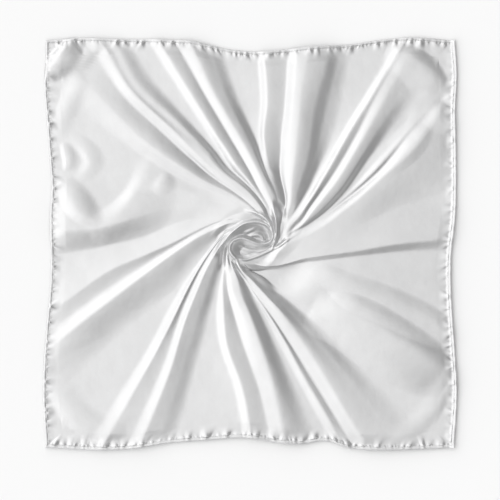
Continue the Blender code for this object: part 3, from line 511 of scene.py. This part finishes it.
def line_slopes(grades):
    """Slopes with which the cloth leaves and reaches each line, from the grades between lines."""
    before = np.roll(grades, 1, axis=0)
    shared = 2 * before * grades / (before + grades + TINY * np.sign(grades))
    smaller = np.minimum(np.abs(before), np.abs(grades))
    larger = np.maximum(np.abs(before), np.abs(grades))
    balance = np.minimum(BALANCE * smaller / (larger + TINY), 1)
    sharpness = np.array([line["sharpness"] for line in FOLD_LINES])[:, None] * balance
    leaving = np.where(before * grades > 0, shared, sharpness * grades)
    reaching = np.where(before * grades > 0, shared, sharpness * before)
    return leaving, reaching


def folds_height(reach, bearing):
    """Height of the folds outside the twirl at flat arrays of reach and line bearing."""
    weights = curve_weights(STATIONS, reach)
    bearings = np.array([line["bearings"] for line in FOLD_LINES], float) @ weights
    heights = np.array([line["heights"] for line in FOLD_LINES], float) @ weights
    steps = np.roll(bearings, -1, axis=0) - bearings
    steps[-1] += 360
    falls = np.roll(heights, -1, axis=0) - heights
    leaving, reaching = line_slopes(falls / steps)
    total = np.zeros_like(reach)
    for line in range(len(FOLD_LINES)):
        following = (line + 1) % len(FOLD_LINES)
        offset = (bearing - bearings[line]) % 360
        here = offset < steps[line]
        span = steps[line][here]
        total[here] = cubic(offset[here] / span, span, heights[line][here], heights[following][here],
                            leaving[line][here], reaching[following][here])
    return total


def crest_height(dx, dy, rows, curling):
    """Height of one crest over the cloth around it.

    A curling crest passes near itself, and there the higher part counts; a ridge does not, and the
    part nearest to each point counts.
    """
    table = np.array(rows, float)
    stations = np.arange(len(table))
    steps = CURLING_STEPS if curling else RIDGE_STEPS
    places = np.linspace(0, len(table) - 1, steps * (len(table) - 1) + 1)
    path = curve_weights(stations, places).T @ table
    nearest = np.full(dx.shape, np.inf)
    total = np.zeros_like(dx)
    for start, end in zip(path[:-1], path[1:]):
        step = end - start
        length = step[X]**2 + step[Y]**2
        part = np.clip(((dx - start[X]) * step[X] + (dy - start[Y]) * step[Y]) / length, 0, 1)
        off_x = dx - start[X] - part * step[X]
        off_y = dy - start[Y] - part * step[Y]
        away = np.hypot(off_x, off_y)
        on_left = step[X] * off_y - step[Y] * off_x > 0
        rise = start[RISE] + part * step[RISE]
        flank = np.where(on_left, start[LEFT] + part * step[LEFT], start[RIGHT] + part * step[RIGHT])
        lift = rise * np.clip(1 - (away / flank)**2, 0, 1)**FLANK_POWER
        if curling:
            total = np.maximum(total, lift)
        else:
            total = np.where(away < nearest, lift, total)
            nearest = np.minimum(nearest, away)
    return total


def add_crest(total, dx, dy, rows, sign, curling=True):
    """Add the height of one crest, or with a sign of -1 take it away, where it reaches."""
    table = np.array(rows, float)
    flank = table[:, LEFT:].max()
    near = ((dx > table[:, X].min() - flank) & (dx < table[:, X].max() + flank)
            & (dy > table[:, Y].min() - flank) & (dy < table[:, Y].max() + flank))
    total[near] += sign * crest_height(dx[near], dy[near], rows, curling)


def cloth_height(x, y):
    """Height of the laid cloth in mm at flat arrays of points of the plan in mm."""
    dx = x - TWIRL_X
    dy = y - TWIRL_Y
    reach = np.hypot(dx, dy)
    bearing = np.degrees(np.arctan2(dy, dx)) + wrap_angle(reach)
    scale = 1 + (HEIGHT_SCALE - 1) * smooth_step(*CLEAR_REACH, reach)
    distances = edge_distances(x, y)
    nearest = np.minimum.reduce(list(distances.values()))
    calm = 1 - EDGE_CALM * (1 - smooth_step(0, EDGE_CALM_WIDTH, nearest))
    narrowing = SOFTENING_REACH / np.maximum(reach, SOFTENING_REACH)
    folds = sum(share * folds_height(reach, bearing + offset * narrowing)
                for offset, share in SOFTENING)
    outer = calm * scale * folds
    for side, lift in EDGE_LIFT.items():
        outer += lift * (1 - smooth_step(0, EDGE_LIFT_WIDTH, distances[side]))
    inside = smooth_step(*HOLLOW_REACH, reach)
    total = outer * inside + (HOLLOW - HOLLOW_FALL * (dx - dy)) * (1 - inside)
    for rows in RIDGE_ROWS.values():
        add_crest(total, dx, dy, rows, 1, curling=False)
    for rows in CREST_ROWS.values():
        add_crest(total, dx, dy, rows, 1)
    for name in BEADED:
        bead = [(place_x, place_y, min(BEAD_RISE, BEAD_SHARE * rise), BEAD_WIDTH, BEAD_WIDTH)
                for place_x, place_y, rise, *_ in CREST_ROWS[name]]
        add_crest(total, dx, dy, bead, 1)
    for rows in DIP_ROWS.values():
        add_crest(total, dx, dy, rows, -1)
    return total


# -------- the puckered border
def side_puckers(side):
    """Small random puckers along one side's stitches: one row of numbers for each."""
    chance = np.random.default_rng(PUCKER_SEED + side)
    rows = []
    for family in PUCKERS:
        count = int(2 * HALF_X / family["gap"])
        scatter = chance.uniform(-PUCKER_SCATTER, PUCKER_SCATTER, count)
        along = -HALF_X + (np.arange(count) + scatter) * family["gap"]
        length = chance.uniform(*family["length"], count)
        rise = chance.uniform(*family["rise"], count)
        half_width = chance.uniform(*family["half_width"], count)
        lean = chance.uniform(-PUCKER_LEAN, PUCKER_LEAN, count)
        rows.append(np.column_stack([along, length, rise, half_width, lean]))
    return np.concatenate(rows)


def pucker_height(side, along, inset):
    """Height of the puckers at flat arrays of places along one side and of insets, in mm."""
    gathers = GATHER_ROWS[PUCKER_SIDES[side]]
    total = np.zeros_like(along)
    for place, length, rise, half_width, lean in [*side_puckers(side), *gathers]:
        inward = inset - STITCH_INSET
        spread_out = 1 + np.clip(inward, 0, length) / length
        away = (along - place - lean * inward) / (half_width * spread_out)
        near = np.abs(away) < 1
        fade = np.where(inward > 0, np.clip(1 - inward / length, 0, 1)**PUCKER_FADE,
                        np.clip(1 + inward / STITCH_INSET, 0, 1) * HEM_PUCKER)
        total[near] += rise * ((1 - away[near]**2)**2) * fade[near]
    return total * smooth_step(0, CORNER_CALM_WIDTH, HALF_X - inset - np.abs(along))


def border_columns():
    """Side, place along it, and place on the full square of each column of the border."""
    share = np.arange(SIDE_COLUMNS) / SIDE_COLUMNS * 2 - 1
    ones = np.ones(SIDE_COLUMNS)
    sides = ((share, -ones), (ones, share), (-share, ones), (-ones, -share))
    x = np.concatenate([HALF_X * share_x for share_x, _ in sides])
    y = np.concatenate([HALF_Y * share_y for _, share_y in sides])
    side = np.repeat(np.arange(4), SIDE_COLUMNS)
    along = np.where(side % 2 == 0, x, y)
    return side, along, x, y


def border_points(side, along, square_x, square_y, inset, lift):
    """Points of the border's top for flat arrays of columns, insets and lifts over the cloth."""
    x, y = laid_point(square_x, square_y, inset)
    z = cloth_height(x, y) + CLOTH_THICKNESS + lift
    for number in range(4):
        here = side == number
        straight = along[here] * (1 - inset[here] / HALF_X)
        z[here] += pucker_height(number, straight, inset[here])
    return np.stack([x, y, z], axis=-1)


def border_grid():
    """Points and normals of the border's top, row by row from the panel out to the edge."""
    rows = np.array(MARGIN_ROWS + HEM_ROWS)
    columns = [np.tile(column, len(rows)) for column in border_columns()]
    inset = np.repeat(rows[:, 0], 4 * SIDE_COLUMNS)
    lift = np.repeat(rows[:, 1], 4 * SIDE_COLUMNS)
    points = border_points(*columns, inset, lift).reshape(len(rows), -1, 3)
    return points, grid_normals(points)


# -------- meshes
def corner_bearings():
    """Bearings of the lines that end in the full square's corners."""
    x = np.array([HALF_X, -HALF_X, -HALF_X, HALF_X]) - TWIRL_X
    y = np.array([HALF_Y, HALF_Y, -HALF_Y, -HALF_Y]) - TWIRL_Y
    return np.degrees(np.arctan2(y, x)) % 360 + wrap_angle(np.hypot(x, y))


def line_bearings():
    """Bearings of the grid's lines, evenly spread but for having one line to each corner."""
    corners = corner_bearings()
    numbers = np.round(corners / 360 * LINES)
    numbers = np.concatenate([numbers[-1:] - LINES, numbers, numbers[:1] + LINES])
    corners = np.concatenate([corners[-1:] - 360, corners, corners[:1] + 360])
    return np.interp(np.arange(LINES), numbers, corners)


def edge_reach(bearings):
    """Reach at which each line meets the full square, for lines of constant bearing."""
    reach = np.full(len(bearings), HALF_X)
    for _ in range(EDGE_STEPS):
        angle = np.radians(bearings - wrap_angle(reach))
        across = np.abs(np.cos(angle)) / (HALF_X - np.sign(np.cos(angle)) * TWIRL_X)
        along = np.abs(np.sin(angle)) / (HALF_Y - np.sign(np.sin(angle)) * TWIRL_Y)
        reach = 1 / np.maximum(across, along)
    return reach


def grid_normals(points):
    """Normals of a grid of points whose second axis closes on itself."""
    around = np.roll(points, -1, axis=1) - np.roll(points, 1, axis=1)
    outward = np.gradient(points, axis=0)
    normals = np.cross(outward, around)
    return normals / np.linalg.norm(normals, axis=-1, keepdims=True)


def add_mesh(name, points, faces, normals=None):
    """A smooth mesh object from points in mm, with its normals where they are known."""
    mesh = bpy.data.meshes.new(name)
    mesh.from_pydata((points * MM).tolist(), [], faces)
    mesh.shade_smooth()
    if normals is not None:
        mesh.normals_split_custom_set_from_vertices(normals.tolist())
    piece = bpy.data.objects.new(name, mesh)
    bpy.context.collection.objects.link(piece)
    return piece


def grid_faces(rows, columns, close_rows, close_columns):
    """Faces of a grid of points, which may close on itself in either direction."""
    row = np.arange(rows if close_rows else rows - 1)[:, None]
    column = np.arange(columns if close_columns else columns - 1)[None, :]
    row_after = (row + 1) % rows * columns
    column_after = (column + 1) % columns
    row = row * columns
    corners = [row + column, row_after + column, row_after + column_after, row + column_after]
    return np.stack(corners, axis=-1).reshape(-1, 4).tolist()


def add_shell(name, points, normals, under, ends="round"):
    """A closed thin shell: rows of its top, then rows of its underside, taken back inwards.

    The ends are "round" where the rows close on themselves, "centre" where the first rows shrink
    to a point as well, and "capped" where the rows are open and a flat face closes each end.
    """
    below = np.broadcast_to(np.array([0.0, 0.0, -1.0]), under.shape)
    section = np.concatenate([points, under])
    facing = np.concatenate([normals, below])
    rows, columns = section.shape[:2]
    faces = grid_faces(rows, columns, ends != "centre", ends != "capped")
    section = section.reshape(-1, 3)
    facing = facing.reshape(-1, 3)
    if ends == "capped":
        starts = np.arange(rows) * columns
        faces += [starts.tolist(), (starts + columns - 1)[::-1].tolist()]
    if ends == "centre":
        top, bottom = len(section), len(section) + 1
        last = (rows - 1) * columns
        section = np.vstack([section, points[0].mean(axis=0), under[-1].mean(axis=0)])
        facing = np.vstack([facing, [0, 0, 1], [0, 0, -1]])
        faces += [(top, i, (i + 1) % columns) for i in range(columns)]
        faces += [(bottom, last + (i + 1) % columns, last + i) for i in range(columns)]
    return add_mesh(name, section, faces, facing)


def underside(points, rows):
    """Coarse rows of the underside of a grid, from its last row back to its first.

    Each lies below the lowest cloth that it spans, so that the top never sinks through it.
    """
    picked = np.round(np.linspace(len(points) - 1, 0, rows)).astype(int)
    low = points[picked]
    for place in range(rows):
        first = picked[min(place + 1, rows - 1)]
        last = picked[max(place - 1, 0)]
        low[place, :, 2] = points[first:last + 1, :, 2].min(axis=0)
    return low - np.array([0.0, 0.0, CLOTH_THICKNESS])


def build_cloth():
    """The twirl and the satin panel, which share one grid of lines."""
    bearings = line_bearings()
    inner = np.linspace(INNER_REACH, TWIRL_REACH, TWIRL_RINGS)[:, None] * np.ones(LINES)
    shares = (np.linspace(0, 1, PANEL_RINGS)**RING_SPREAD)[1:, None]
    outer = TWIRL_REACH + (edge_reach(bearings) - TWIRL_REACH) * shares
    reach = np.vstack([inner, outer])
    angle = np.radians(bearings - wrap_angle(reach))
    x, y = laid_point(TWIRL_X + reach * np.cos(angle), TWIRL_Y + reach * np.sin(angle),
                      HEM_WIDTH + MARGIN_WIDTH)
    z = cloth_height(x.ravel(), y.ravel()).reshape(x.shape) + CLOTH_THICKNESS
    points = np.stack([x, y, z], axis=-1)
    normals = grid_normals(points)
    core, rest = slice(0, TWIRL_RINGS), slice(TWIRL_RINGS - 1, None)
    core_low = underside(points[core], UNDER_ROWS)
    rest_low = underside(points[rest], UNDER_ROWS)
    return (add_shell("twirl", points[core], normals[core], core_low, "centre"),
            add_shell("satin_panel", points[rest], normals[rest], rest_low))


def build_border():
    """The puckered margin inside the stitches, and a turned hem along each side."""
    points, normals = border_grid()
    first = len(MARGIN_ROWS)
    inside, outside = slice(0, first), slice(first - 1, None)
    low = underside(points[inside], BORDER_UNDER_ROWS)
    margin = add_shell("margin", points[inside], normals[inside], low)
    hems = []
    for number, side in enumerate(PUCKER_SIDES):
        start = number * SIDE_COLUMNS
        picked = np.arange(start, start + SIDE_COLUMNS + 1) % (4 * SIDE_COLUMNS)
        top = points[outside][:, picked]
        low = underside(top, BORDER_UNDER_ROWS)
        low[0, :, 2] = np.maximum(low[0, :, 2], 0)
        hems.append(add_shell("turned_hem_" + side, top, normals[outside][:, picked], low, "capped"))
    return margin, hems


def stitch_lines():
    """The middle line of each stitch: points in mm, by stitch and by section."""
    shares = np.array(THREAD_SECTIONS)
    side, along, square_x, square_y = border_columns()
    places = np.concatenate([
        number * SIDE_COLUMNS + np.arange(STITCH_END, SIDE_COLUMNS - STITCH_END, STITCH_PITCH)
        for number in range(4)])
    rows = (places[:, None] + shares[:, 0] * STITCH_LENGTH).ravel()
    low = np.floor(rows).astype(int)
    part = rows - low
    high = np.minimum(low + 1, len(side) - 1)
    mixed = [values[low] * (1 - part) + values[high] * part for values in (along, square_x, square_y)]
    inset = np.full(len(low), STITCH_INSET)
    lift = np.full(len(low), STITCH_LIFT)
    middle = border_points(side[low], *mixed, inset, lift).reshape(len(places), len(shares), 3)
    middle[:, :, 2] += shares[:, 2] * THREAD_RADIUS
    return middle


def build_stitches():
    """One line of short thread stitches along each hem."""
    middle = stitch_lines()
    count, sections = middle.shape[:2]
    section = np.radians(np.arange(THREAD_SIDES) * 360 / THREAD_SIDES)
    run = np.gradient(middle, axis=1)
    run /= np.linalg.norm(run, axis=-1, keepdims=True)
    across = np.cross(run, [0.0, 0.0, 1.0])
    across /= np.linalg.norm(across, axis=-1, keepdims=True)
    up = np.cross(across, run)
    radius = (np.array(THREAD_SECTIONS)[:, 1] * THREAD_RADIUS)[None, :, None, None]
    ring = (np.cos(section)[:, None] * across[:, :, None, :]
            + np.sin(section)[:, None] * up[:, :, None, :])
    points = (middle[:, :, None, :] + radius * ring).reshape(-1, 3)
    stitch = np.array(grid_faces(sections, THREAD_SIDES, False, True))
    size = sections * THREAD_SIDES
    faces = (stitch[None] + np.arange(count)[:, None, None] * size).reshape(-1, 4).tolist()
    first = np.arange(THREAD_SIDES)
    for start in range(0, len(points), size):
        faces.append((start + first).tolist())
        faces.append((start + size - 1 - first).tolist())
    return add_mesh("hem_stitches", points, faces)


# -------- materials
def new_material(name):
    """A node material, with its node tree and its one shader."""
    material = bpy.data.materials.new(name)
    material.use_nodes = True
    tree = material.node_tree
    return material, tree, tree.nodes["Principled BSDF"]


def set_inputs(node, values):
    """Set a node's inputs by their names."""
    for name, value in values.items():
        node.inputs[name].default_value = value


def noise(tree, coords, size, detail):
    """Even noise over the cloth, with features of about a size in metres."""
    texture = tree.nodes.new("ShaderNodeTexNoise")
    set_inputs(texture, {"Scale": 1 / size, "Detail": detail})
    tree.links.new(coords, texture.inputs["Vector"])
    return texture.outputs["Fac"]


def yarns(tree, coords, pitch, axis):
    """Fine parallel yarns at a pitch in metres, across one axis.

    The texture's own bands are pi / 10 apart at a scale of 1.
    """
    wave = tree.nodes.new("ShaderNodeTexWave")
    wave.bands_direction = axis
    wave.wave_profile = "SIN"
    set_inputs(wave, {"Scale": math.pi / (10 * pitch), **YARN_WAVER})
    tree.links.new(coords, wave.inputs["Vector"])
    return wave.outputs["Fac"]


def map_range(tree, value, source, target, interpolation="LINEAR"):
    """Map a value from one range to another, and hold it at the ends."""
    ramp = tree.nodes.new("ShaderNodeMapRange")
    ramp.interpolation_type = interpolation
    set_inputs(ramp, {"From Min": source[0], "From Max": source[1],
                      "To Min": target[0], "To Max": target[1]})
    tree.links.new(value, ramp.inputs["Value"])
    return ramp.outputs["Result"]


def bump(tree, value, distance, strength, below=None):
    """Bump by a value, to a depth in metres, on top of the bump below it."""
    node = tree.nodes.new("ShaderNodeBump")
    set_inputs(node, {"Distance": distance, "Strength": strength})
    tree.links.new(value, node.inputs["Height"])
    if below is not None:
        tree.links.new(below, node.inputs["Normal"])
    return node.outputs["Normal"]


def shade(tree, value, dark, light, socket):
    """Colour a socket from a dark to a light tone by a value."""
    mix = tree.nodes.new("ShaderNodeMix")
    mix.data_type = "RGBA"
    set_inputs(mix, {"A": (*dark, 1), "B": (*light, 1)})
    tree.links.new(value, mix.inputs["Factor"])
    tree.links.new(mix.outputs["Result"], socket)


def satin_material(name):
    """White satin: soft broad gloss, fine yarns, and cloth that is never quite even."""
    dark, light, roughness, weave = SATIN_LOOKS[name]
    material, tree, shader = new_material(name)
    coords = tree.nodes.new("ShaderNodeTexCoord").outputs["Object"]
    tone = map_range(tree, noise(tree, coords, *TONE_NOISE), NOISE_RANGE, (0, 1))
    shade(tree, tone, dark, light, shader.inputs["Base Color"])
    gloss = map_range(tree, noise(tree, coords, *GLOSS_NOISE), NOISE_RANGE, roughness)
    tree.links.new(gloss, shader.inputs["Roughness"])
    rumple = bump(tree, noise(tree, coords, *RUMPLE_NOISE), *RUMPLE_BUMP)
    warp = bump(tree, yarns(tree, coords, WARP_PITCH, "X"), YARN_DEPTH, weave, rumple)
    weft = bump(tree, yarns(tree, coords, WEFT_PITCH, "Y"), YARN_DEPTH, weave, warp)
    tree.links.new(weft, shader.inputs["Normal"])
    set_inputs(shader, SATIN_SHADER)
    return material


def thread_material():
    """White polyester thread, twisted round its own length."""
    material, tree, shader = new_material("thread")
    coords = tree.nodes.new("ShaderNodeTexCoord").outputs["Object"]
    tone = map_range(tree, noise(tree, coords, *THREAD_NOISE), NOISE_RANGE, (0, 1))
    shade(tree, tone, *THREAD_TONES, shader.inputs["Base Color"])
    twist = bump(tree, yarns(tree, coords, TWIST_PITCH, "DIAGONAL"), *TWIST_BUMP)
    tree.links.new(twist, shader.inputs["Normal"])
    set_inputs(shader, THREAD_SHADER)
    return material


# -------- room
def build_floor():
    """A plain pale floor just under the cloth."""
    mesh = bpy.data.meshes.new("floor")
    corners = [(x * FLOOR_HALF, y * FLOOR_HALF, -FLOOR_DROP)
               for x, y in ((-1, -1), (1, -1), (1, 1), (-1, 1))]
    mesh.from_pydata(corners, [], [(0, 1, 2, 3)])
    floor = bpy.data.objects.new("floor", mesh)
    bpy.context.collection.objects.link(floor)
    material, _, shader = new_material("floor")
    set_inputs(shader, FLOOR_SHADER)
    mesh.materials.append(material)


def direction(azimuth, elevation):
    """The unit vector towards an azimuth and an elevation in degrees."""
    around = math.radians(azimuth)
    above = math.radians(elevation)
    return (math.cos(around) * math.cos(above), math.sin(around) * math.cos(above), math.sin(above))


def glow(tree, coords, azimuth, elevation, outer, inner, strength):
    """Light of one glow: full near its middle, and fading out towards its outer angle."""
    dot = tree.nodes.new("ShaderNodeVectorMath")
    dot.operation = "DOT_PRODUCT"
    dot.inputs[1].default_value = direction(azimuth, elevation)
    tree.links.new(coords, dot.inputs[0])
    angles = [math.cos(math.radians(angle)) for angle in (outer, inner)]
    return map_range(tree, dot.outputs["Value"], angles, (0.0, strength), "SMOOTHSTEP")


def build_lights():
    """The world's dome of light with its glows, added one after the other."""
    world = bpy.data.worlds.new("world")
    world.use_nodes = True
    tree = world.node_tree
    background = tree.nodes["Background"]
    background.inputs["Color"].default_value = (1, 1, 1, 1)
    coords = tree.nodes.new("ShaderNodeTexCoord").outputs["Generated"]
    total = None
    for row in GLOWS:
        light = glow(tree, coords, *row)
        add = tree.nodes.new("ShaderNodeMath")
        add.operation = "ADD"
        tree.links.new(light, add.inputs[0])
        if total is None:
            add.inputs[1].default_value = DOME_FLOOR
        else:
            tree.links.new(total, add.inputs[1])
        total = add.outputs["Value"]
    tree.links.new(total, background.inputs["Strength"])
    bpy.context.scene.world = world
    bpy.context.scene.view_settings.view_transform = "Standard"


def build_camera():
    """A long lens straight above the scarf."""
    camera = bpy.data.cameras.new("camera")
    camera.lens = CAMERA_LENS
    camera.sensor_width = CAMERA_SENSOR
    holder = bpy.data.objects.new("camera", camera)
    holder.location = CAMERA_PLACE
    bpy.context.collection.objects.link(holder)
    bpy.context.scene.camera = holder


# -------- the scene
build_camera()
satin = satin_material("satin")
hem_satin = satin_material("hem_satin")
thread = thread_material()
twirl, panel = build_cloth()
margin, hems = build_border()
stitches = build_stitches()
looks = [(piece, satin, "satin") for piece in (panel, twirl, margin)]
looks += [(piece, hem_satin, "hem_satin") for piece in hems]
looks += [(stitches, thread, "thread")]
for piece, material, slot in looks:
    piece.data.materials.append(material)
    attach(piece, "root")
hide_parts("panel")
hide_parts("twirl_core", "twirl_crest")
for piece, side in zip(hems, PUCKER_SIDES):
    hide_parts("hem_" + side)
build_floor()
build_lights()
